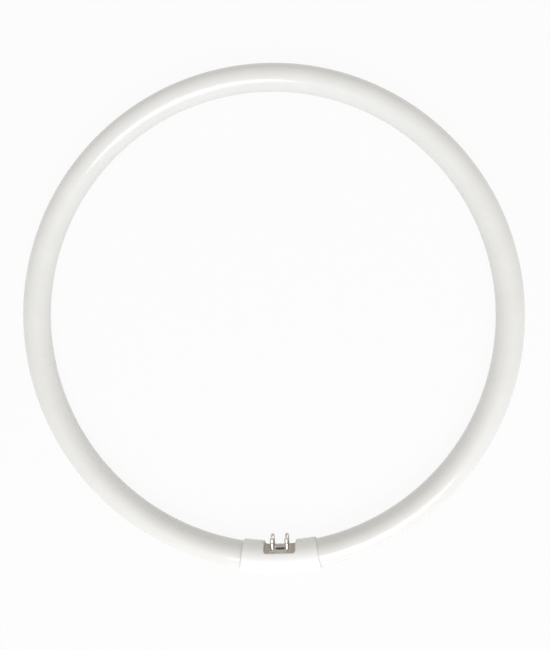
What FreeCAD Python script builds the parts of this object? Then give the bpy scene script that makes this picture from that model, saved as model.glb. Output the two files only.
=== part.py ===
import FreeCAD, Part
import math
import os
import Sketcher
from FreeCAD import Placement, Rotation, Vector

# Circular fluorescent tube: a glass ring whose two ends meet in one plastic cap with four pins.
# The ring lies flat. Its axis is +Z, the cap is on the -Y side and the pins point to +Y, into the ring.
# Every sub-part is drawn about the ring's centre, or about its own pin, and then placed so that the
# lamp lies on Z = 0 with its box centred on the origin. Lengths are in millimetres.

# Driving dimensions
SIZES = {
    # glass ring: the upper half is a semicircle, the lower arcs are a little wider
    "tube_radius": 8.0,
    "arc_radius": 141.5,
    "oval": 3.0,
    "shoulder_round": 3.0,
    "exhaust_radius": 1.6,
    "exhaust_length": 3.0,
    "exhaust_root": 1.0,
    "end_clearance": 0.8,
    # cap: its round section lies a little further out than the glass
    "cap_wall": 1.4,
    "cap_offset": 0.5,
    "cap_half_angle": 9.2,
    "cap_edge_round": 0.5,
    "glass_clearance": 0.2,
    # recess for the lampholder, on the inner side of the cap
    "recess_half": 9.35,
    "recess_depth": 4.3,
    "recess_corner": 1.5,
    "recess_chamfer": 1.0,
    "recess_wall": 1.8,
    "floor_thickness": 1.8,
    "chamber_room": 1.6,
    "chamber_overlap": 1.0,
    "cover_wall": 1.1,
    "slot_width": 3.4,
    "slot_depth": 1.3,
    "slot_margin": 0.45,
    # contact pins, each with a wider shank through the floor, and a flange and a wire socket under it
    "pin_radius": 1.18,
    "pin_length": 8.0,
    "pin_spacing_x": 8.7,
    "pin_spacing_z": 7.4,
    "pin_clearance": 0.05,
    "shank_radius": 1.6,
    "flange_radius": 2.1,
    "flange_thickness": 0.6,
    "socket_radius": 0.5,
    "socket_depth": 1.4,
    "groove_below_tip": 3.3,
    "groove_width": 0.5,
    "groove_depth": 0.12,
    # lead wires from the glass to the pins, and their sleeves
    "wire_radius": 0.3,
    "wire_bend": 2.0,
    "wire_end_gap": 0.1,
    "sleeve_wall": 0.35,
    "sleeve_clearance": 0.05,
    "sleeve_end_gap": 0.5,
}

# Places worked out from the sizes
LOWER = "(size.arc_radius + size.oval)"
SEAT = (
    f"(sqrt({LOWER}^2 - (size.oval * cos(size.cap_half_angle))^2)"
    " - size.oval * sin(size.cap_half_angle))"
)
CAP_RADIUS = "(size.tube_radius + size.glass_clearance + size.cap_wall)"
SECTION = f"({SEAT} + size.cap_offset)"
CAP_INSIDE = f"({SECTION} - {CAP_RADIUS})"
FLOOR = f"({CAP_INSIDE} + size.recess_depth)"
BORE_END = "(size.recess_half + size.recess_wall)"
GLASS_END = f"({BORE_END} + size.end_clearance)"
GLASS_END_Y = f"(sqrt({LOWER}^2 - ({GLASS_END} + size.oval)^2))"
BORE_ANGLE = f"asin(({BORE_END} + size.oval) / {LOWER})"
GLASS_ANGLE = f"asin(({GLASS_END} + size.oval) / {LOWER})"
CHAMBER_HALF = "(size.pin_spacing_z / 2 + size.flange_radius + size.chamber_room)"
PIN_FOOT = "(size.floor_thickness + size.flange_thickness)"
SOCKET_TOP = f"(size.socket_depth - {PIN_FOOT})"
WIRE_DROP = f"({GLASS_END_Y} - {FLOOR})"
WIRE_REACH = f"({GLASS_END} - size.pin_spacing_x / 2 - size.wire_end_gap)"
SHIFT_Y = f"(({SECTION} + {CAP_RADIUS} - size.arc_radius - size.tube_radius) / 2)"
SHIFT_Z = f"max({CAP_RADIUS}; size.tube_radius)"

doc = FreeCAD.newDocument("circular_fluorescent_tube")


def make_sheet():
    """The spreadsheet of driving dimensions, one plain number with an alias to a row."""
    sheet = doc.addObject("Spreadsheet::Sheet", "size")
    for row, (name, value) in enumerate(SIZES.items(), start=1):
        sheet.set(f"A{row}", name)
        sheet.set(f"B{row}", str(value))
        sheet.setAlias(f"B{row}", name)
    doc.recompute()
    return sheet


sheet = make_sheet()


def value(expression):
    """The number that an expression in the sheet's sizes gives."""
    result = sheet.evalExpression(expression.replace("size.", ""))
    return float(getattr(result, "Value", result))


def bind(thing, **expressions):
    """Ties properties of an object to expressions; a double underscore stands for a dot."""
    for name, expression in expressions.items():
        thing.setExpression(name.replace("__", "."), expression)


# Sketches

def plane(body, role):
    """One of the body's own origin planes or axes."""
    return next(item for item in body.Origin.OriginFeatures if item.Role == role)


def new_sketch(body, name, role):
    sketch = body.newObject("Sketcher::SketchObject", name)
    sketch.AttachmentSupport = (plane(body, role), [""])
    sketch.MapMode = "FlatFace"
    return sketch


def fix(sketch, kind, geometry, point, expression):
    """Sets one coordinate of a point, measured from the sketch's origin."""
    constraint = Sketcher.Constraint(kind, -1, 1, geometry, point, value(expression))
    index = sketch.addConstraint(constraint)
    sketch.setExpression(f"Constraints[{index}]", expression)


def fix_point(sketch, geometry, point, x, y):
    fix(sketch, "DistanceX", geometry, point, x)
    fix(sketch, "DistanceY", geometry, point, y)


def fix_radius(sketch, geometry, expression):
    index = sketch.addConstraint(Sketcher.Constraint("Radius", geometry, value(expression)))
    sketch.setExpression(f"Constraints[{index}]", expression)


def circle(sketch, x, y, radius):
    centre = Vector(value(x), value(y), 0)
    index = sketch.addGeometry(Part.Circle(centre, Vector(0, 0, 1), value(radius)))
    fix_point(sketch, index, 3, x, y)
    fix_radius(sketch, index, radius)


def axis_line(sketch, x, length):
    """A construction line parallel to the sketch's vertical axis, to turn a profile about."""
    foot = Vector(value(x), 0, 0)
    head = Vector(value(x), value(length), 0)
    index = sketch.addGeometry(Part.LineSegment(foot, head), True)
    fix_point(sketch, index, 1, x, "0")
    fix_point(sketch, index, 2, x, length)


def arc_between(start, end, radius, centre, turn):
    """An arc from start to end; turn says which way it runs, 'left' being anticlockwise."""
    first = math.atan2(start.y - centre.y, start.x - centre.x)
    last = math.atan2(end.y - centre.y, end.x - centre.x)
    if turn == "right":
        first, last = last, first
    if last <= first:
        last += 2 * math.pi
    return Part.ArcOfCircle(Part.Circle(centre, Vector(0, 0, 1), radius), first, last)


def outline(sketch, steps, closed=True):
    """Draws joined edges. A step is a corner (x, y), or a corner and the arc that leaves it:
    (x, y, radius, centre x, centre y, turn). An arc is held by its centre and radius, and each of
    its ends by the one coordinate that still moves it along the arc."""
    corners = [Vector(value(step[0]), value(step[1]), 0) for step in steps]
    count = len(steps)
    edges = []
    for i, step in enumerate(steps if closed else steps[:-1]):
        start = corners[i]
        end = corners[(i + 1) % count]
        if len(step) == 2:
            index = sketch.addGeometry(Part.LineSegment(start, end))
            edges.append((index, 1, 2, None))
            continue
        centre = Vector(value(step[3]), value(step[4]), 0)
        index = sketch.addGeometry(arc_between(start, end, value(step[2]), centre, step[5]))
        edges.append((index, 1, 2, centre) if step[5] == "left" else (index, 2, 1, centre))
        fix_point(sketch, index, 3, step[3], step[4])
        fix_radius(sketch, index, step[2])
    for i, (index, first, last, centre) in enumerate(edges):
        before = edges[i - 1] if closed or i else None
        centre = centre or (before and before[3])
        offset = corners[i] - centre if centre else None
        if not offset or abs(offset.x) <= abs(offset.y):
            fix(sketch, "DistanceX", index, first, steps[i][0])
        if not offset or abs(offset.x) > abs(offset.y):
            fix(sketch, "DistanceY", index, first, steps[i][1])
        if before:
            joint = Sketcher.Constraint("Coincident", before[0], before[2], index, first)
            sketch.addConstraint(joint)
    if not closed:
        fix_point(sketch, edges[-1][0], edges[-1][2], steps[-1][0], steps[-1][1])


# Features

def new_body(name):
    body = doc.addObject("PartDesign::Body", name)
    body.Label = name
    return body


def feature(body, kind, name, sketch, axis=None, **settings):
    """A feature on a sketch, checked to have added or removed material."""
    doc.recompute()
    before = body.Shape.Volume if body.Tip else 0.0
    item = body.newObject("PartDesign::" + kind, name)
    item.Profile = (sketch, [""])
    if axis:
        item.ReferenceAxis = (sketch, [axis])
    for key, setting in settings.items():
        if isinstance(setting, str) and key in ("Length", "Angle", "Angle2"):
            item.setExpression(key, setting)
        else:
            setattr(item, key, setting)
    sketch.Visibility = False
    doc.recompute()
    change = body.Shape.Volume - before
    if change * (-1 if kind in ("Pocket", "Groove") else 1) <= 0:
        raise ValueError(f"{name} changed the volume by {change:.3f}")
    return item


def mirror(body, name, originals):
    """Repeats features on the other side of the plane through the cap's middle."""
    before = body.Shape.Volume
    item = body.newObject("PartDesign::Mirrored", name)
    item.Originals = originals
    item.MirrorPlane = (plane(body, "YZ_Plane"), [""])
    body.Tip = item
    doc.recompute()
    if abs(body.Shape.Volume - before) < 1:
        raise ValueError(f"{name} changed nothing")


def round_edges(body, name, radius, wanted):
    """Rounds the edges of the body's last feature that the test picks."""
    base = body.Tip
    names = [f"Edge{i}" for i, edge in enumerate(base.Shape.Edges, start=1) if wanted(edge)]
    item = body.newObject("PartDesign::Fillet", name)
    item.Base = (base, names)
    item.setExpression("Radius", radius)
    doc.recompute()
    return item


def is_circle(edge, radius):
    if edge.Degenerated or not isinstance(edge.Curve, Part.Circle):
        return False
    return abs(edge.Curve.Radius - radius) < 1e-6


def lay_down(body, x="0", y="0", z="0"):
    """Puts a body in the lamp, which lies on Z = 0."""
    bind(
        body,
        Placement__Base__x=x,
        Placement__Base__y=f"{y} + {SHIFT_Y}",
        Placement__Base__z=f"{z} + {SHIFT_Z}",
    )


# Glass ring

def make_glass_tube():
    """The sealed glass ring: a semicircle, two wider arcs, rounded ends and their exhaust tips."""
    body = new_body("glass_tube")
    upper = new_sketch(body, "upper_section", "XZ_Plane")
    circle(upper, "size.arc_radius", "0", "size.tube_radius")
    feature(body, "Revolution", "upper_half", upper, "V_Axis", Angle="180")
    lower = new_sketch(body, "lower_section", "XZ_Plane")
    circle(lower, "size.arc_radius", "0", "size.tube_radius")
    axis_line(lower, "-size.oval", "size.tube_radius")
    right = feature(
        body, "Revolution", "lower_arc", lower, "Axis0", Angle=f"90 deg - {GLASS_ANGLE}", Reversed=True
    )
    tip = new_sketch(body, "exhaust_profile", "XY_Plane")
    bind(
        tip,
        AttachmentOffset__Base__x=GLASS_END,
        AttachmentOffset__Base__y=f"-{GLASS_END_Y}",
        AttachmentOffset__Rotation__Angle=f"180 deg + {GLASS_ANGLE}",
    )
    side = "(size.exhaust_length - size.exhaust_radius)"
    outline(tip, [
        ("-size.exhaust_root", "0"),
        (side + " + size.exhaust_radius", "0", "size.exhaust_radius", side, "0", "left"),
        (side, "size.exhaust_radius"),
        ("-size.exhaust_root", "size.exhaust_radius"),
    ])
    nub = feature(body, "Revolution", "exhaust_tip", tip, "H_Axis", Angle="360")
    mirror(body, "other_side", [right, nub])
    radius = value("size.tube_radius")
    reach = value(GLASS_END) + radius
    round_edges(
        body, "shoulders", "size.shoulder_round",
        lambda edge: is_circle(edge, radius) and abs(edge.CenterOfMass.x) < reach
        and edge.CenterOfMass.y < 0,
    )
    lay_down(body)
    return body


# Cap

def half_section(sketch, side, radius):
    """Half of a round section of the cap, inside (+1) or outside (-1) the line through its middle."""
    turn = "left" if side < 0 else "right"
    outline(sketch, [
        (f"-{SECTION}", radius, radius, f"-{SECTION}", "0", turn),
        (f"-{SECTION}", f"-{radius}"),
    ])


def make_shell(name, side):
    """Half of the cap, split along the middle of its round section."""
    body = new_body(name)
    section = new_sketch(body, name + "_section", "YZ_Plane")
    half_section(section, side, CAP_RADIUS)
    feature(
        body, "Revolution", name + "_half", section, "V_Axis",
        Angle="2 * size.cap_half_angle", Midplane=True,
    )
    radius = value(CAP_RADIUS)
    round_edges(
        body, name + "_ends", "size.cap_edge_round", lambda edge: is_circle(edge, radius)
    )
    return body


def bore_for_glass(body, angle):
    """Cuts the way for the glass into both ends of the cap, down to an angle from the middle."""
    sketch = new_sketch(body, body.Name + "_bore_section", "XZ_Plane")
    circle(sketch, "size.arc_radius", "0", "size.tube_radius + size.glass_clearance")
    axis_line(sketch, "-size.oval", "size.tube_radius")
    groove = feature(
        body, "Groove", body.Name + "_bore", sketch, "Axis0", Angle=f"90 deg - {angle}", Reversed=True
    )
    mirror(body, body.Name + "_other_bore", [groove])


def cut_chamber(body):
    """The room for the wires, under the recess's floor."""
    sketch = new_sketch(body, "chamber_outline", "XY_Plane")
    half = f"({BORE_END} + size.chamber_overlap)"
    top = f"-({FLOOR} + size.floor_thickness)"
    bottom = f"-({SECTION} + size.chamber_overlap)"
    outline(sketch, [("-" + half, top), ("-" + half, bottom), (half, bottom), (half, top)])
    feature(body, "Pocket", "chamber", sketch, SideType="Symmetric", Length=f"2 * {CHAMBER_HALF}")


def cut_recess(body):
    """The recess that the lampholder enters, open to the ring's front, back and inside."""
    sketch = new_sketch(body, "recess_outline", "XY_Plane")
    half = "size.recess_half"
    inner = "(size.recess_half - size.recess_corner)"
    low = f"(size.recess_corner - {FLOOR})"
    lip = f"(size.recess_chamfer - {CAP_INSIDE} - size.recess_depth / 2)"
    wide = f"({half} + size.recess_depth)"
    top = f"({lip} + size.recess_depth)"
    corner = "size.recess_corner"
    outline(sketch, [
        (f"-{half}", low, corner, f"-{inner}", low, "left"),
        (f"-{inner}", f"-{FLOOR}"),
        (inner, f"-{FLOOR}", corner, inner, low, "left"),
        (half, low),
        (half, lip),
        (wide, top),
        (f"-{wide}", top),
        (f"-{half}", lip),
    ])
    feature(body, "Pocket", "recess", sketch, SideType="Symmetric", Length=f"4 * {CAP_RADIUS}")


def cut_key_slot(body):
    """A shallow slot with round ends in the floor, between the four pins."""
    sketch = new_sketch(body, "slot_outline", "XZ_Plane")
    bind(sketch, AttachmentOffset__Base__z=FLOOR)
    radius = "size.slot_width / 2"
    run = "(size.pin_spacing_x / 2 - size.pin_radius - size.slot_margin - size.slot_width / 2)"
    outline(sketch, [
        (f"-{run}", radius, radius, f"-{run}", "0", "left"),
        (f"-{run}", f"-{radius}"),
        (run, f"-{radius}", radius, run, "0", "left"),
        (run, radius),
    ])
    feature(body, "Pocket", "key_slot", sketch, Length="size.slot_depth", Reversed=True)


def cut_pin_holes(body):
    sketch = new_sketch(body, "pin_holes_outline", "XZ_Plane")
    for x in ("size.pin_spacing_x / 2", "-size.pin_spacing_x / 2"):
        for z in ("size.pin_spacing_z / 2", "-size.pin_spacing_z / 2"):
            circle(sketch, x, z, "size.shank_radius + size.pin_clearance")
    feature(body, "Pocket", "pin_holes", sketch, Type="ThroughAll", Reversed=True)


def make_cap_inner_shell():
    """The inner half of the cap, which carries the pins on the sunken floor of its recess."""
    body = make_shell("cap_inner_shell", 1)
    bore_for_glass(body, BORE_ANGLE)
    cut_chamber(body)
    cut_recess(body)
    cut_key_slot(body)
    cut_pin_holes(body)
    lay_down(body)
    return body


def make_cap_outer_shell():
    """The outer half of the cap, a curved channel that closes over the glass's ends."""
    body = make_shell("cap_outer_shell", -1)
    bore_for_glass(body, f"asin(({BORE_END} - size.chamber_overlap + size.oval) / {LOWER})")
    middle = new_sketch(body, "middle_section", "YZ_Plane")
    half_section(middle, -1, f"({CAP_RADIUS} - size.cover_wall)")
    feature(
        body, "Groove", "middle_channel", middle, "V_Axis",
        Angle=f"2 * asin({BORE_END} / {SECTION})", Midplane=True,
    )
    lay_down(body)
    return body


# Pins and wires

def pin_place(body, right, front, turned=False):
    """Puts a body on the pin that is on the right or left, at the front or back."""
    if turned and not right:
        body.Placement = Placement(Vector(), Rotation(Vector(0, 1, 0), 180))
    lay_down(
        body,
        x=("" if right else "-") + "size.pin_spacing_x / 2",
        y=f"-{FLOOR}",
        z=("" if front else "-") + "size.pin_spacing_z / 2",
    )


def make_pin(name, right, front):
    """A pin with a round tip and a groove; its foot has a shank, a flange and a wire socket."""
    body = new_body("pin_" + name)
    sketch = new_sketch(body, body.Name + "_profile", "XY_Plane")
    radius = "size.pin_radius"
    groove = "(size.pin_length - size.groove_below_tip)"
    neck = f"{radius} - size.groove_depth"
    round_start = "(size.pin_length - size.pin_radius)"
    outline(sketch, [
        ("size.socket_radius", f"-{PIN_FOOT}"),
        ("size.flange_radius", f"-{PIN_FOOT}"),
        ("size.flange_radius", "-size.floor_thickness"),
        ("size.shank_radius", "-size.floor_thickness"),
        ("size.shank_radius", "0"),
        (radius, "0"),
        (radius, f"{groove} - size.groove_width / 2"),
        (neck, f"{groove} - size.groove_width / 4"),
        (neck, f"{groove} + size.groove_width / 4"),
        (radius, f"{groove} + size.groove_width / 2"),
        (radius, round_start, radius, "0", round_start, "left"),
        ("0", "size.pin_length"),
        ("0", SOCKET_TOP),
        ("size.socket_radius", SOCKET_TOP),
    ])
    feature(body, "Revolution", body.Name + "_turned", sketch, "V_Axis", Angle="360")
    pin_place(body, right, front)
    return body


def make_lead_wire(name, right, front):
    """A wire from the end of the glass, round one bend and up into the socket of its pin."""
    body = new_body("lead_wire_" + name)
    path = new_sketch(body, body.Name + "_path", "XY_Plane")
    top = f"({SOCKET_TOP} - size.wire_end_gap)"
    turn_y = f"(size.wire_bend - {WIRE_DROP})"
    outline(path, [
        ("0", top),
        ("0", turn_y, "size.wire_bend", "size.wire_bend", turn_y, "left"),
        ("size.wire_bend", f"-{WIRE_DROP}"),
        (WIRE_REACH, f"-{WIRE_DROP}"),
    ], closed=False)
    section = new_sketch(body, body.Name + "_section", "XZ_Plane")
    bind(section, AttachmentOffset__Base__z=f"-{top}")
    circle(section, "0", "0", "size.wire_radius")
    doc.recompute()
    sweep = body.newObject("PartDesign::AdditivePipe", body.Name + "_drawn")
    sweep.Profile = (section, [""])
    sweep.Spine = (path, [])
    sweep.Transition = "Transformed"
    body.Tip = sweep
    doc.recompute()
    pin_place(body, right, front, turned=True)
    return body


def make_wire_sleeve(name, right, front):
    """An insulating sleeve on the straight stretch of a lead wire."""
    body = new_body("wire_sleeve_" + name)
    section = new_sketch(body, body.Name + "_section", "YZ_Plane")
    bind(section, AttachmentOffset__Base__z="size.wire_bend")
    bore = "size.wire_radius + size.sleeve_clearance"
    circle(section, f"-{WIRE_DROP}", "0", bore)
    circle(section, f"-{WIRE_DROP}", "0", bore + " + size.sleeve_wall")
    length = f"{WIRE_REACH} - size.wire_bend - size.sleeve_end_gap"
    feature(body, "Pad", body.Name + "_cut", section, Length=length)
    pin_place(body, right, front, turned=True)
    return body


def check(parts):
    """Every feature must have worked and every sub-part must be one sound solid."""
    for item in doc.Objects:
        if {"Invalid", "Error"} & set(item.State):
            raise ValueError(f"{item.Label} failed: {item.State}")
    for part in parts:
        shape = part.Shape
        if shape.isNull() or not shape.isValid() or len(shape.Solids) != 1:
            raise ValueError(f"{part.Label} isn't one valid solid")


def main():
    parts = [make_glass_tube(), make_cap_inner_shell(), make_cap_outer_shell()]
    places = [
        (f"{depth}_{side}", side == "right", depth == "front")
        for depth in ("front", "back")
        for side in ("left", "right")
    ]
    for make in (make_pin, make_lead_wire, make_wire_sleeve):
        parts += [make(*place) for place in places]
    doc.recompute()
    check(parts)
    os.makedirs("parts", exist_ok=True)
    for part in parts:
        part.Shape.exportStep(f"parts/{part.Label}.step")
        print(part.Label, round(part.Shape.Volume, 2), part.Shape.BoundBox)


main()
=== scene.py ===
import math

import bmesh
import bpy
import numpy as np
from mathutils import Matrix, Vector


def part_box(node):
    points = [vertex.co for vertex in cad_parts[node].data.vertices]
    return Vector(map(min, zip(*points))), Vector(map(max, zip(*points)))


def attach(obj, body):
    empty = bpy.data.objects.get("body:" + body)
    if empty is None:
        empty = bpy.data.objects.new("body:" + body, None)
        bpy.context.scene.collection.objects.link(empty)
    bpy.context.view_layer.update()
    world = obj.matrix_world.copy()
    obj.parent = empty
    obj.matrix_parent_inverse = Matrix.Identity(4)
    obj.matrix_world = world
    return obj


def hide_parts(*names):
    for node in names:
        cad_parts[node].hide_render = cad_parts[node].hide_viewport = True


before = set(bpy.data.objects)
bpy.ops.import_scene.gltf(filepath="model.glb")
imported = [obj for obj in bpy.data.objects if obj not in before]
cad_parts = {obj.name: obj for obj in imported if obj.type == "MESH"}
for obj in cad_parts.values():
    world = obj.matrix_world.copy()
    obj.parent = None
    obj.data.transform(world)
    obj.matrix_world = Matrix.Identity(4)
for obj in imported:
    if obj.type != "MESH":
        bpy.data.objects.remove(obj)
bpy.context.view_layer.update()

# The lamp's own sizes are in millimetres. The ring's centre and the tube's radius come from the glass tube in
# model.glb.
MM = 0.001

# Glass: how far the lower arcs' centres lie from the middle, its cut ends, rounded shoulders and exhaust tips
OVAL = 3.0
GLASS_END = 11.95
SHOULDER = 3.0
TIP_RADIUS = 1.6
TIP_LENGTH = 3.0
GLASS_RUNS = 420
GLASS_SIDES = 72

# Cap: its centre line, the glass bores, the recess with its chamfer, and the key slot in the recess's floor
CAP_LINE = 144.49
CAP_RADIUS = 9.6
CAP_ANGLE = math.radians(9.2)
CAP_WALL = 1.3
ROOM_HALF = 7.4
BORE_RADIUS = 8.2
BORE_END = 11.15
FLOOR = 139.19
RECESS_HALF = 9.35
RECESS_CORNER = 1.5
CHAMFER_FROM = 136.04
FLOOR_THICKNESS = 1.8
SLOT_RUN = 1.02
SLOT_RADIUS = 1.7
SLOT_DEPTH = 1.3
EDGE = 0.4
NET_STEP = 0.33

# Pins: measured up from the recess's floor, with a wire socket in the foot
PIN_RADIUS = 1.18
PIN_LENGTH = 8.0
PIN_ACROSS = 4.35
PIN_BESIDE = 3.7
SHANK_RADIUS = 1.6
FLANGE_RADIUS = 2.1
FLANGE_THICKNESS = 0.6
SOCKET_RADIUS = 0.5
SOCKET_DEPTH = 1.4
GROOVE_HEIGHT = PIN_LENGTH - 3.3
GROOVE_HALF = 0.25
GROOVE_DEPTH = 0.12
PIN_SIDES = 40

low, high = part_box("glass_tube")
TUBE_RADIUS = (high.z - low.z) / 2 / MM
ARC_RADIUS = (high.x - low.x) / 2 / MM - TUBE_RADIUS
CENTRE = Vector((0, high.y - (high.x - low.x) / 2, (high.z + low.z) / 2))


# Mesh helpers

def add_mesh(name, points, faces, normals=None):
    """A smooth object from points in millimetres about the ring's centre."""
    mesh = bpy.data.meshes.new(name)
    placed = [tuple(CENTRE + Vector(p) * MM) for p in points]
    mesh.from_pydata(placed, [], faces)
    mesh.update()
    mesh.shade_smooth()
    if normals is not None:
        mesh.normals_split_custom_set_from_vertices([tuple(n) for n in normals])
    piece = bpy.data.objects.new(name, mesh)
    bpy.context.scene.collection.objects.link(piece)
    return piece


def tube_faces(rings, around):
    """Quads between neighbouring rings of points, and a fan at each end point."""
    faces = []
    for i in range(rings - 1):
        for j in range(around):
            k = (j + 1) % around
            faces.append((i * around + j, i * around + k, (i + 1) * around + k, (i + 1) * around + j))
    first, last = rings * around, rings * around + 1
    for j in range(around):
        k = (j + 1) % around
        faces.append((first, k, j))
        faces.append((last, (rings - 1) * around + j, (rings - 1) * around + k))
    return faces


# Glass ring

def ring_place(s):
    """Centre-line point, direction and outward direction at a length from the right end."""
    lower = ARC_RADIUS + OVAL
    end = math.acos((GLASS_END + OVAL) / lower)
    run = lower * end
    half = ARC_RADIUS * math.pi
    if s < run:
        centre, radius, angle = -OVAL, lower, -end + s / lower
    elif s < run + half:
        centre, radius, angle = 0.0, ARC_RADIUS, (s - run) / ARC_RADIUS
    else:
        centre, radius, angle = OVAL, lower, math.pi + (s - run - half) / lower
    out = Vector((math.cos(angle), math.sin(angle), 0))
    along = Vector((-math.sin(angle), math.cos(angle), 0))
    return Vector((centre, 0, 0)) + out * radius, along, out


def glass_ring():
    """The coated glass tube with its rounded sealed ends and exhaust tips."""
    lower = ARC_RADIUS + OVAL
    total = 2 * lower * math.acos((GLASS_END + OVAL) / lower) + math.pi * ARC_RADIUS
    side = TIP_LENGTH - TIP_RADIUS
    ends = []
    for a in np.linspace(0.25, math.pi / 2, 6):
        ends.append((-side - TIP_RADIUS * math.cos(a), TIP_RADIUS * math.sin(a)))
    ends += [(-0.3, TIP_RADIUS), (0.0, TIP_RADIUS + 0.5), (0.0, TUBE_RADIUS - SHOULDER)]
    for a in np.linspace(0.2, math.pi / 2, 8):
        ends.append((SHOULDER * (1 - math.cos(a)), TUBE_RADIUS - SHOULDER + SHOULDER * math.sin(a)))
    stations = list(ends)
    stations += [(d, TUBE_RADIUS) for d in np.linspace(SHOULDER, total - SHOULDER, GLASS_RUNS)[1:-1]]
    stations += [(total - d, r) for d, r in reversed(ends)]
    points = []
    for d, r in stations:
        on_line = min(max(d, 0.0), total)
        place, along, out = ring_place(on_line)
        place = place + along * (d - on_line)
        for j in range(GLASS_SIDES):
            a = 2 * math.pi * j / GLASS_SIDES
            points.append(place + out * (r * math.cos(a)) + Vector((0, 0, r * math.sin(a))))
    for d in (-TIP_LENGTH, total + TIP_LENGTH):
        on_line = min(max(d, 0.0), total)
        place, along, out = ring_place(on_line)
        points.append(place + along * (d - on_line))
    return add_mesh("glass_ring", points, tube_faces(len(stations), GLASS_SIDES))


# Cap

def rounded_and(a, b, radius):
    """Distance field of what two solids share, with the edge between them rounded."""
    corner = np.hypot(np.maximum(a + radius, 0), np.maximum(b + radius, 0))
    return np.minimum(np.maximum(a, b), -radius) + corner


def cap_field(p):
    """Distance, in millimetres, from the cap's surface; less than zero is plastic."""
    x, y, z = np.abs(p[..., 0]), p[..., 1], p[..., 2]
    ring = np.hypot(x, y)
    section = np.hypot(ring - CAP_LINE, z)
    ends = x * math.cos(CAP_ANGLE) + y * math.sin(CAP_ANGLE)
    body = rounded_and(section - CAP_RADIUS, ends, 0.6)
    glass = np.hypot(np.hypot(x + OVAL, y) - (ARC_RADIUS + OVAL), z) - BORE_RADIUS
    bore = np.maximum(glass, BORE_END - 1 - x)
    body = rounded_and(body, -bore, 0.25)
    room = np.maximum(np.maximum(x - BORE_END - 1, np.abs(z) - ROOM_HALF), y + FLOOR + FLOOR_THICKNESS)
    room = np.maximum(room, section - CAP_RADIUS + CAP_WALL)
    body = np.maximum(body, -room)
    under_floor = -FLOOR - y
    slot = rounded_and(x - RECESS_HALF, under_floor, RECESS_CORNER)
    wedge = (x - RECESS_HALF - y - CHAMFER_FROM) / math.sqrt(2)
    recess = -rounded_and(-slot, -np.maximum(wedge, under_floor), EDGE)
    body = rounded_and(body, -recess, EDGE)
    key = np.hypot(np.maximum(x - SLOT_RUN, 0), z) - SLOT_RADIUS
    key = np.maximum(key, under_floor - SLOT_DEPTH)
    return rounded_and(body, -key, 0.2)


def slope(field, p, h=0.02):
    """The way in which the field grows fastest, and how fast."""
    parts = []
    for axis in range(3):
        step = np.zeros(3)
        step[axis] = h
        parts.append((field(p + step) - field(p - step)) / (2 * h))
    return np.stack(parts, -1)


def net(field, first, last, step):
    """Quads on the zero surface of a distance field, with their points moved onto it."""
    axes = [np.arange(a, b + step, step) for a, b in zip(first, last)]
    grid = np.stack(np.meshgrid(*axes, indexing="ij"), -1)
    values = field(grid)
    inside = values < 0
    nx, ny, nz = (n - 1 for n in values.shape)
    total = np.zeros((nx, ny, nz, 3))
    hits = np.zeros((nx, ny, nz))
    corners = [(i, j, k) for i in (0, 1) for j in (0, 1) for k in (0, 1)]
    cut = lambda array, c: array[c[0]:c[0] + nx, c[1]:c[1] + ny, c[2]:c[2] + nz]
    for a in corners:
        for b in corners:
            if sum(abs(m - n) for m, n in zip(a, b)) != 1 or a > b:
                continue
            va, vb = cut(values, a), cut(values, b)
            crossed = (va < 0) != (vb < 0)
            share = np.where(crossed, va / np.where(crossed, va - vb, 1), 0)[..., None]
            point = cut(grid, a) + (cut(grid, b) - cut(grid, a)) * share
            total += np.where(crossed[..., None], point, 0)
            hits += crossed
    used = hits > 0
    number = np.full(used.shape, -1)
    number[used] = np.arange(used.sum())
    points = total[used] / hits[used][:, None]
    for _ in range(6):
        grade = slope(field, points)
        move = field(points)[:, None] * grade / np.maximum((grade ** 2).sum(-1, keepdims=True), 0.2)
        points = points - np.clip(move, -step / 2, step / 2)
    faces = []
    for axis in range(3):
        u, v = [n for n in range(3) if n != axis]
        size = list(values.shape)
        size[axis] -= 1
        start = [slice(0, n) for n in size]
        start[u] = slice(1, size[u] - 1)
        start[v] = slice(1, size[v] - 1)
        after = list(start)
        after[axis] = slice(1, size[axis] + 1)
        here, there = inside[tuple(start)], inside[tuple(after)]
        for flip in (False, True):
            mark = (here & ~there) if not flip else (~here & there)
            at = np.argwhere(mark)
            at[:, u] += 1
            at[:, v] += 1
            quad = []
            for du, dv in ((-1, -1), (0, -1), (0, 0), (-1, 0)):
                cell = at.copy()
                cell[:, u] += du
                cell[:, v] += dv
                quad.append(number[cell[:, 0], cell[:, 1], cell[:, 2]])
            quad = np.stack(quad, -1)
            if flip != (axis == 1):
                quad = quad[:, ::-1]
            faces += quad.tolist()
    grade = slope(field, points)
    normals = grade / np.linalg.norm(grade, axis=-1, keepdims=True)
    return points, faces, normals


def cap():
    first = (-26.0, -155.0, -10.2)
    last = (26.0, -131.5, 10.2)
    points, faces, normals = net(cap_field, first, last, NET_STEP)
    return add_mesh("cap", points, faces, normals)


# Pins

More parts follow.
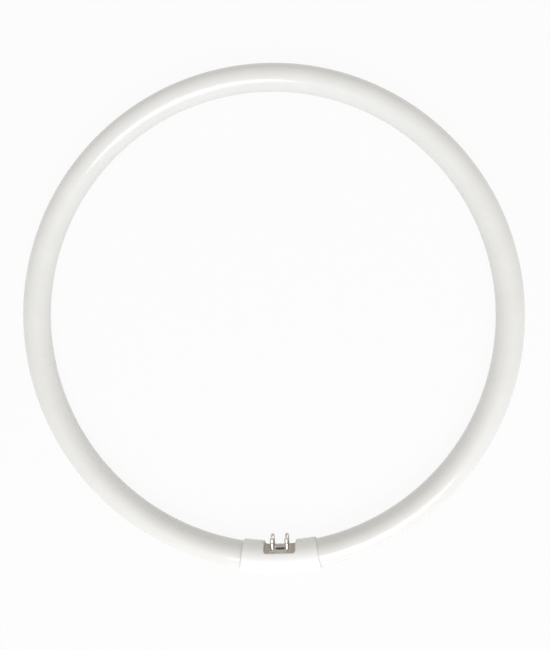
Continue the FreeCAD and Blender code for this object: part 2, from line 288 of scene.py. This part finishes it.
def pin(name, x, z):
    """A turned pin with a round tip, a groove pressed round it and its flange under the floor."""
    foot = -FLOOR_THICKNESS - FLANGE_THICKNESS
    profile = [(SOCKET_RADIUS, foot + SOCKET_DEPTH), (SOCKET_RADIUS, foot + 0.05)]
    profile += [(SOCKET_RADIUS + 0.05, foot), (FLANGE_RADIUS - 0.1, foot)]
    profile += [(FLANGE_RADIUS - 0.02, foot + 0.05), (FLANGE_RADIUS, foot + 0.12)]
    profile += [(FLANGE_RADIUS, foot + 0.5), (FLANGE_RADIUS - 0.06, -FLOOR_THICKNESS)]
    profile += [(SHANK_RADIUS, -FLOOR_THICKNESS), (SHANK_RADIUS, -0.08), (SHANK_RADIUS - 0.08, 0.0)]
    profile += [(PIN_RADIUS + 0.06, 0.0), (PIN_RADIUS, 0.06)]
    profile += [(PIN_RADIUS, y) for y in np.linspace(0.3, GROOVE_HEIGHT - 0.3, 6)]
    for t in np.linspace(-1, 1, 9):
        sunk = GROOVE_DEPTH * math.cos(t * math.pi / 2) ** 0.7
        profile.append((PIN_RADIUS - sunk, GROOVE_HEIGHT + GROOVE_HALF * t))
    profile += [(PIN_RADIUS, y) for y in np.linspace(GROOVE_HEIGHT + 0.3, PIN_LENGTH - PIN_RADIUS, 5)]
    for a in np.linspace(0, math.pi / 2, 12)[1:-1]:
        profile.append((PIN_RADIUS * math.cos(a), PIN_LENGTH - PIN_RADIUS + PIN_RADIUS * math.sin(a)))
    points = []
    for r, y in profile:
        for j in range(PIN_SIDES):
            a = -2 * math.pi * j / PIN_SIDES
            points.append(Vector((x + r * math.cos(a), y - FLOOR, z + r * math.sin(a))))
    points.append(Vector((x, foot + SOCKET_DEPTH - FLOOR, z)))
    points.append(Vector((x, PIN_LENGTH - FLOOR, z)))
    piece = add_mesh(name, points, tube_faces(len(profile), PIN_SIDES))
    mark_edges(piece, 50)
    return piece


def mark_edges(piece, degrees):
    """Keeps the edges that turn by more than an angle sharp."""
    mesh = piece.data
    work = bmesh.new()
    work.from_mesh(mesh)
    limit = math.radians(degrees)
    for edge in work.edges:
        if len(edge.link_faces) == 2 and edge.calc_face_angle() > limit:
            edge.smooth = False
    work.to_mesh(mesh)
    work.free()


# Materials

class Look:
    """A node material with a Principled shader and short ways to add to it."""

    def __init__(self, name, **settings):
        self.material = bpy.data.materials.new(name)
        self.material.use_nodes = True
        self.nodes = self.material.node_tree.nodes
        self.links = self.material.node_tree.links
        self.shader = self.nodes["Principled BSDF"]
        for key, setting in settings.items():
            self.shader.inputs[key.replace("_", " ")].default_value = setting
        self.place = self.nodes.new("ShaderNodeTexCoord").outputs["Object"]
        self.heights = []

    def node(self, kind, values=(), **settings):
        """A new node; values are its inputs in order, each a number, a vector or a socket."""
        node = self.nodes.new("ShaderNode" + kind)
        for key, setting in settings.items():
            setattr(node, key, setting)
        for key, item in values.items() if isinstance(values, dict) else enumerate(values):
            if isinstance(item, bpy.types.NodeSocket):
                self.links.new(item, node.inputs[key])
            elif item is not None:
                node.inputs[key].default_value = item
        return node

    def noise(self, scale, detail=4.0, roughness=0.55, stretch=None):
        """Noise over the surface; stretch scales its axes."""
        place = self.place
        if stretch:
            place = self.node("Mapping", {"Vector": place, "Scale": stretch}).outputs[0]
        values = {"Vector": place, "Scale": scale, "Detail": detail, "Roughness": roughness}
        return self.node("TexNoise", values).outputs["Fac"]

    def math(self, operation, *values):
        """One Math node."""
        return self.node("Math", values, operation=operation).outputs[0]

    def ramp(self, factor, *stops):
        """Maps a factor through colour stops of (position, colour)."""
        ramp = self.node("ValToRGB", [factor])
        band = ramp.color_ramp
        while len(band.elements) < len(stops):
            band.elements.new(0.5)
        for element, (position, colour) in zip(band.elements, stops):
            element.position = position
            element.color = (*colour, 1.0) if len(colour) == 3 else colour
        return ramp.outputs["Color"]

    def length(self, *parts):
        """Length of the vector with these parts."""
        vector = self.node("CombineXYZ", parts).outputs[0]
        return self.node("VectorMath", [vector], operation="LENGTH").outputs["Value"]

    def span(self, factor, low, high, to_low=0.0, to_high=1.0):
        """Maps a factor from one range to another, and stops at its ends."""
        return self.node("MapRange", [factor, low, high, to_low, to_high]).outputs[0]

    def blend(self, factor, first, second):
        """Mixes two colours."""
        mix = self.node("Mix", data_type="RGBA")
        for key, item in ((0, factor), (6, first), (7, second)):
            if isinstance(item, bpy.types.NodeSocket):
                self.links.new(item, mix.inputs[key])
            else:
                mix.inputs[key].default_value = (*item, 1.0) if isinstance(item, tuple) else item
        return mix.outputs[2]

    def bump(self, height, distance, strength):
        """Adds to the bumps so far; the distance is in metres."""
        values = {"Height": height, "Distance": distance, "Strength": strength}
        if self.heights:
            values["Normal"] = self.heights[-1]
        self.heights.append(self.node("Bump", values).outputs[0])

    def done(self, **sockets):
        """Links what varies to the shader, and gives the material."""
        for key, item in sockets.items():
            self.links.new(item, self.shader.inputs[key.replace("_", " ")])
        if self.heights:
            self.links.new(self.heights[-1], self.shader.inputs["Normal"])
        return self.material


def coated_glass():
    """White phosphor behind clear glass: a soft matt body under a sharp clear gloss."""
    look = Look("coated_glass", Roughness=0.42, Coat_Weight=0.7, Coat_Roughness=0.035, Coat_IOR=1.52)
    cloud = look.noise(55.0, 3.0, 0.5)
    grain = look.noise(1400.0, 2.0, 0.6)
    colour = look.ramp(cloud, (0.3, (0.815, 0.815, 0.80)), (0.7, (0.845, 0.845, 0.835)))
    colour = look.blend(look.span(grain, 0.35, 0.75, 0.0, 0.10), colour, (0.70, 0.695, 0.67))
    look.bump(look.noise(38.0, 2.0, 0.4), 0.0004, 0.25)
    return look.done(Base_Color=colour)


def white_plastic():
    """Moulded plastic: satin skin, a faint flow pattern, the line where the two shells meet, and painted
    shade in the recess, round the pins' feet and in the key slot.
    """
    look = Look("white_plastic", Roughness=0.38, Specular_IOR_Level=0.5)
    flow = look.noise(90.0, 3.0, 0.5, stretch=(0.6, 1.6, 1.0))
    colour = look.ramp(flow, (0.3, (0.935, 0.935, 0.93)), (0.7, (0.955, 0.955, 0.95)))
    parts = look.node("SeparateXYZ", [look.place]).outputs
    side = look.math("ABSOLUTE", parts[0])
    height = look.math("ABSOLUTE", look.math("SUBTRACT", parts[2], CENTRE.z))
    floor = CENTRE.y - FLOOR * MM

    # Painted shade: the recess is darkened to grey-brown, mottled by noise, as far as its rounded corners
    # reach
    beside = look.math("MAXIMUM", look.math("SUBTRACT", side, (RECESS_HALF - RECESS_CORNER) * MM), 0.0)
    below = look.math("MAXIMUM", look.math("SUBTRACT", floor + RECESS_CORNER * MM, parts[1]), 0.0)
    depth = look.math("SUBTRACT", look.length(beside, below, 0.0), RECESS_CORNER * MM)
    recess_shade_mottle = look.span(look.noise(300.0, 4.0, 0.65), 0.3, 0.7, 0.8, 1.0)
    recess = look.span(depth, 0.00008, 0.00022, 1.0, 0.0)
    colour = look.blend(look.math("MULTIPLY", recess, recess_shade_mottle), colour, (0.47, 0.42, 0.37))

    # Painted shade: dark rings on the floor round the pins' feet, and a dark inside of the key slot
    across_pin = look.math("SUBTRACT", side, PIN_ACROSS * MM)
    beside_pin = look.math("SUBTRACT", height, PIN_BESIDE * MM)
    foot = look.span(look.length(across_pin, beside_pin, 0.0), 0.0017, 0.0022, 0.75, 0.0)
    colour = look.blend(look.math("MULTIPLY", foot, recess), colour, (0.20, 0.165, 0.13))
    # Painted shade: the key slot's inside is coloured dark brown below the floor
    within_side = look.span(side, 0.0028, 0.0031, 1.0, 0.0)
    within_height = look.span(height, 0.0018, 0.002, 1.0, 0.0)
    inside = look.math("MULTIPLY", within_side, within_height)
    inside = look.math("MULTIPLY", inside, look.span(parts[1], floor - 0.0003, floor - 0.0001, 1.0, 0.0))
    deep = look.span(parts[1], floor - 0.0017, floor - 0.0015, 0.0, 1.0)
    colour = look.blend(look.math("MULTIPLY", inside, deep), colour, (0.30, 0.25, 0.20))

    # The line where the shells meet
    ring = look.length(parts[0], look.math("SUBTRACT", parts[1], CENTRE.y), 0.0)
    away = look.math("ABSOLUTE", look.math("SUBTRACT", ring, CAP_LINE * MM))
    seam = look.span(away, 0.00003, 0.00011, 1.0, 0.0)
    colour = look.blend(look.math("MULTIPLY", seam, 0.25), colour, (0.45, 0.44, 0.42))
    look.bump(look.noise(2600.0, 2.0, 0.6), 0.00004, 0.25)
    look.bump(look.noise(160.0, 2.0, 0.5), 0.0002, 0.08)
    rough = look.span(look.noise(420.0, 3.0), 0.3, 0.7, 0.34, 0.44)
    return look.done(Base_Color=colour, Roughness=rough)


def plated_pin():
    """Nickel plate over brass, drawn lengthwise, with warm worn spots and a dark brown band along the groove.
    """
    look = Look("plated_pin", Metallic=1.0)
    drawn = look.noise(900.0, 3.0, 0.6, stretch=(1.0, 0.06, 1.0))
    spots = look.noise(700.0, 3.0, 0.6)
    colour = look.ramp(drawn, (0.3, (0.72, 0.69, 0.63)), (0.7, (0.84, 0.81, 0.75)))
    colour = look.blend(look.span(spots, 0.58, 0.75, 0.0, 0.35), colour, (0.60, 0.50, 0.34))
    # A dark brown band is coloured along the groove
    along = look.node("SeparateXYZ", [look.place]).outputs[1]
    groove = CENTRE.y + (GROOVE_HEIGHT - FLOOR) * MM
    away = look.math("ABSOLUTE", look.math("SUBTRACT", along, groove))
    colour = look.blend(look.span(away, 0.0001, 0.00022, 0.85, 0.0), colour, (0.16, 0.10, 0.06))
    look.bump(drawn, 0.00003, 0.3)
    rough = look.span(drawn, 0.3, 0.7, 0.14, 0.26)
    return look.done(Base_Color=colour, Roughness=rough)


def wire_metal():
    """Drawn nickel-iron wire."""
    look = Look("lead_wire", Metallic=1.0)
    drawn = look.noise(1500.0, 3.0, 0.6, stretch=(0.1, 1.0, 1.0))
    colour = look.ramp(drawn, (0.3, (0.50, 0.49, 0.46)), (0.7, (0.68, 0.67, 0.64)))
    look.bump(drawn, 0.00003, 0.3)
    return look.done(Base_Color=colour, Roughness=look.span(drawn, 0.3, 0.7, 0.28, 0.42))


def glass_fibre():
    """Woven insulating sleeve."""
    look = Look("sleeve", Roughness=0.8, Sheen_Weight=0.3)
    values = {"Vector": look.place, "Scale": 900.0, "Distortion": 1.5}
    weave = look.node("TexWave", values, bands_direction="DIAGONAL").outputs["Fac"]
    colour = look.ramp(weave, (0.2, (0.70, 0.69, 0.63)), (0.8, (0.86, 0.85, 0.80)))
    look.bump(weave, 0.0001, 0.5)
    return look.done(Base_Color=colour)


def put(piece, material):
    """Gives a piece one material."""
    piece.data.materials.clear()
    piece.data.materials.append(material)


looks = {
    "coated_glass": coated_glass(),
    "white_plastic": white_plastic(),
    "plated_pin": plated_pin(),
    "lead_wire": wire_metal(),
    "sleeve": glass_fibre(),
}

# Pieces and what they replace
made = [(glass_ring(), "coated_glass", ["glass_tube"])]
made.append((cap(), "white_plastic", ["cap_inner_shell", "cap_outer_shell"]))
for depth in ("front", "back"):
    for side in ("left", "right"):
        node = f"pin_{depth}_{side}"
        box_low, box_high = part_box(node)
        middle = ((box_low + box_high) / 2 - CENTRE) / MM
        made.append((pin("turned_" + node, middle.x, middle.z), "plated_pin", [node]))
for piece, look, nodes in made:
    put(piece, looks[look])
    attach(piece, "root")
    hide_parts(*nodes)
for name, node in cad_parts.items():
    if name.startswith("lead_wire"):
        put(node, looks["lead_wire"])
    elif name.startswith("wire_sleeve"):
        put(node, looks["sleeve"])
    elif name.startswith("cap_"):
        put(node, looks["white_plastic"])
    elif name.startswith("pin_"):
        put(node, looks["plated_pin"])
    else:
        put(node, looks["coated_glass"])


# Floor

def seen_rays(nodes, links):
    """1 for rays from the camera and for those that gloss and glass send on, else 0."""
    rays = nodes.new("ShaderNodeLightPath").outputs
    total = rays["Is Camera Ray"]
    for kind in ("Is Glossy Ray", "Is Transmission Ray"):
        add = nodes.new("ShaderNodeMath")
        add.operation = "MAXIMUM"
        links.new(total, add.inputs[0])
        links.new(rays[kind], add.inputs[1])
        total = add.outputs[0]
    return total


def make_floor():
    """A wide pale floor that looks white and keeps a faint shadow."""
    work = bmesh.new()
    bmesh.ops.create_grid(work, x_segments=8, y_segments=8, size=8.0)
    mesh = bpy.data.meshes.new("floor")
    work.to_mesh(mesh)
    work.free()
    floor = bpy.data.objects.new("floor", mesh)
    bpy.context.scene.collection.objects.link(floor)
    material = bpy.data.materials.new("floor")
    material.use_nodes = True
    nodes, links = material.node_tree.nodes, material.node_tree.links
    shader = nodes["Principled BSDF"]
    shader.inputs["Base Color"].default_value = (0.70, 0.70, 0.69, 1)
    shader.inputs["Roughness"].default_value = 0.9
    shader.inputs["Specular IOR Level"].default_value = 0.1
    glow = nodes.new("ShaderNodeEmission")
    glow.inputs["Strength"].default_value = 1.0
    share = nodes.new("ShaderNodeMath")
    share.operation = "MULTIPLY"
    share.inputs[1].default_value = 0.93
    links.new(seen_rays(nodes, links), share.inputs[0])
    mix = nodes.new("ShaderNodeMixShader")
    links.new(share.outputs[0], mix.inputs[0])
    links.new(shader.outputs[0], mix.inputs[1])
    links.new(glow.outputs[0], mix.inputs[2])
    links.new(mix.outputs[0], nodes["Material Output"].inputs["Surface"])
    floor.data.materials.append(material)


make_floor()


# Light

def softbox(name, place, aim, size, power):
    """A round soft lamp."""
    light = bpy.data.lights.new(name, "AREA")
    light.shape = "DISK"
    light.size = size
    light.energy = power
    lamp = bpy.data.objects.new(name, light)
    lamp.location = place
    lamp.rotation_euler = (Vector(aim) - Vector(place)).to_track_quat("-Z", "Y").to_euler()
    bpy.context.scene.collection.objects.link(lamp)


def studio():
    """Soft light from all round: pale overhead, bright behind the cap, dim and warm on the far side."""
    world = bpy.data.worlds.new("studio")
    bpy.context.scene.world = world
    world.use_nodes = True
    nodes, links = world.node_tree.nodes, world.node_tree.links
    place = nodes.new("ShaderNodeTexCoord")
    parts = nodes.new("ShaderNodeSeparateXYZ")
    links.new(place.outputs["Generated"], parts.inputs[0])

    def span(source, low, high, to_low, to_high):
        """Maps a part of the direction smoothly from one range to another."""
        level = nodes.new("ShaderNodeMapRange")
        level.interpolation_type = "SMOOTHSTEP"
        for key, setting in zip(("From Min", "From Max", "To Min", "To Max"), (low, high, to_low, to_high)):
            level.inputs[key].default_value = setting
        links.new(source, level.inputs["Value"])
        return level.outputs[0]

    far = span(parts.outputs["Y"], -0.1, 0.85, 0.0, 1.0)
    warm = nodes.new("ShaderNodeMix")
    warm.data_type = "RGBA"
    warm.inputs[6].default_value = (1, 1, 1, 1)
    warm.inputs[7].default_value = (0.64, 0.60, 0.53, 1)
    links.new(far, warm.inputs[0])
    links.new(warm.outputs[2], nodes["Background"].inputs["Color"])
    links.new(span(parts.outputs["Z"], 0.0, 1.0, 0.81, 0.72), nodes["Background"].inputs["Strength"])
    white = nodes.new("ShaderNodeBackground")
    white.inputs["Color"].default_value = (1, 1, 1, 1)
    white.inputs["Strength"].default_value = 1.0
    mix = nodes.new("ShaderNodeMixShader")
    links.new(nodes.new("ShaderNodeLightPath").outputs["Is Camera Ray"], mix.inputs[0])
    links.new(nodes["Background"].outputs[0], mix.inputs[1])
    links.new(white.outputs[0], mix.inputs[2])
    links.new(mix.outputs[0], nodes["World Output"].inputs["Surface"])


softbox("key", (0.115, -0.619, 0.773), (0, 0, 0), 0.68, 4.4)
studio()

# Camera
lens = bpy.data.cameras.new("camera")
lens.sensor_fit = "HORIZONTAL"
lens.sensor_width = 36
lens.lens = 41.31
lens.clip_start = 0.01
camera = bpy.data.objects.new("camera", lens)
camera.location = (0.034145, 0.006428, 0.384529)
camera.rotation_euler = [math.radians(a) for a in (-1.632, 4.416, -3.29)]
bpy.context.scene.collection.objects.link(camera)
bpy.context.scene.camera = camera
bpy.context.scene.view_settings.view_transform = "Standard"
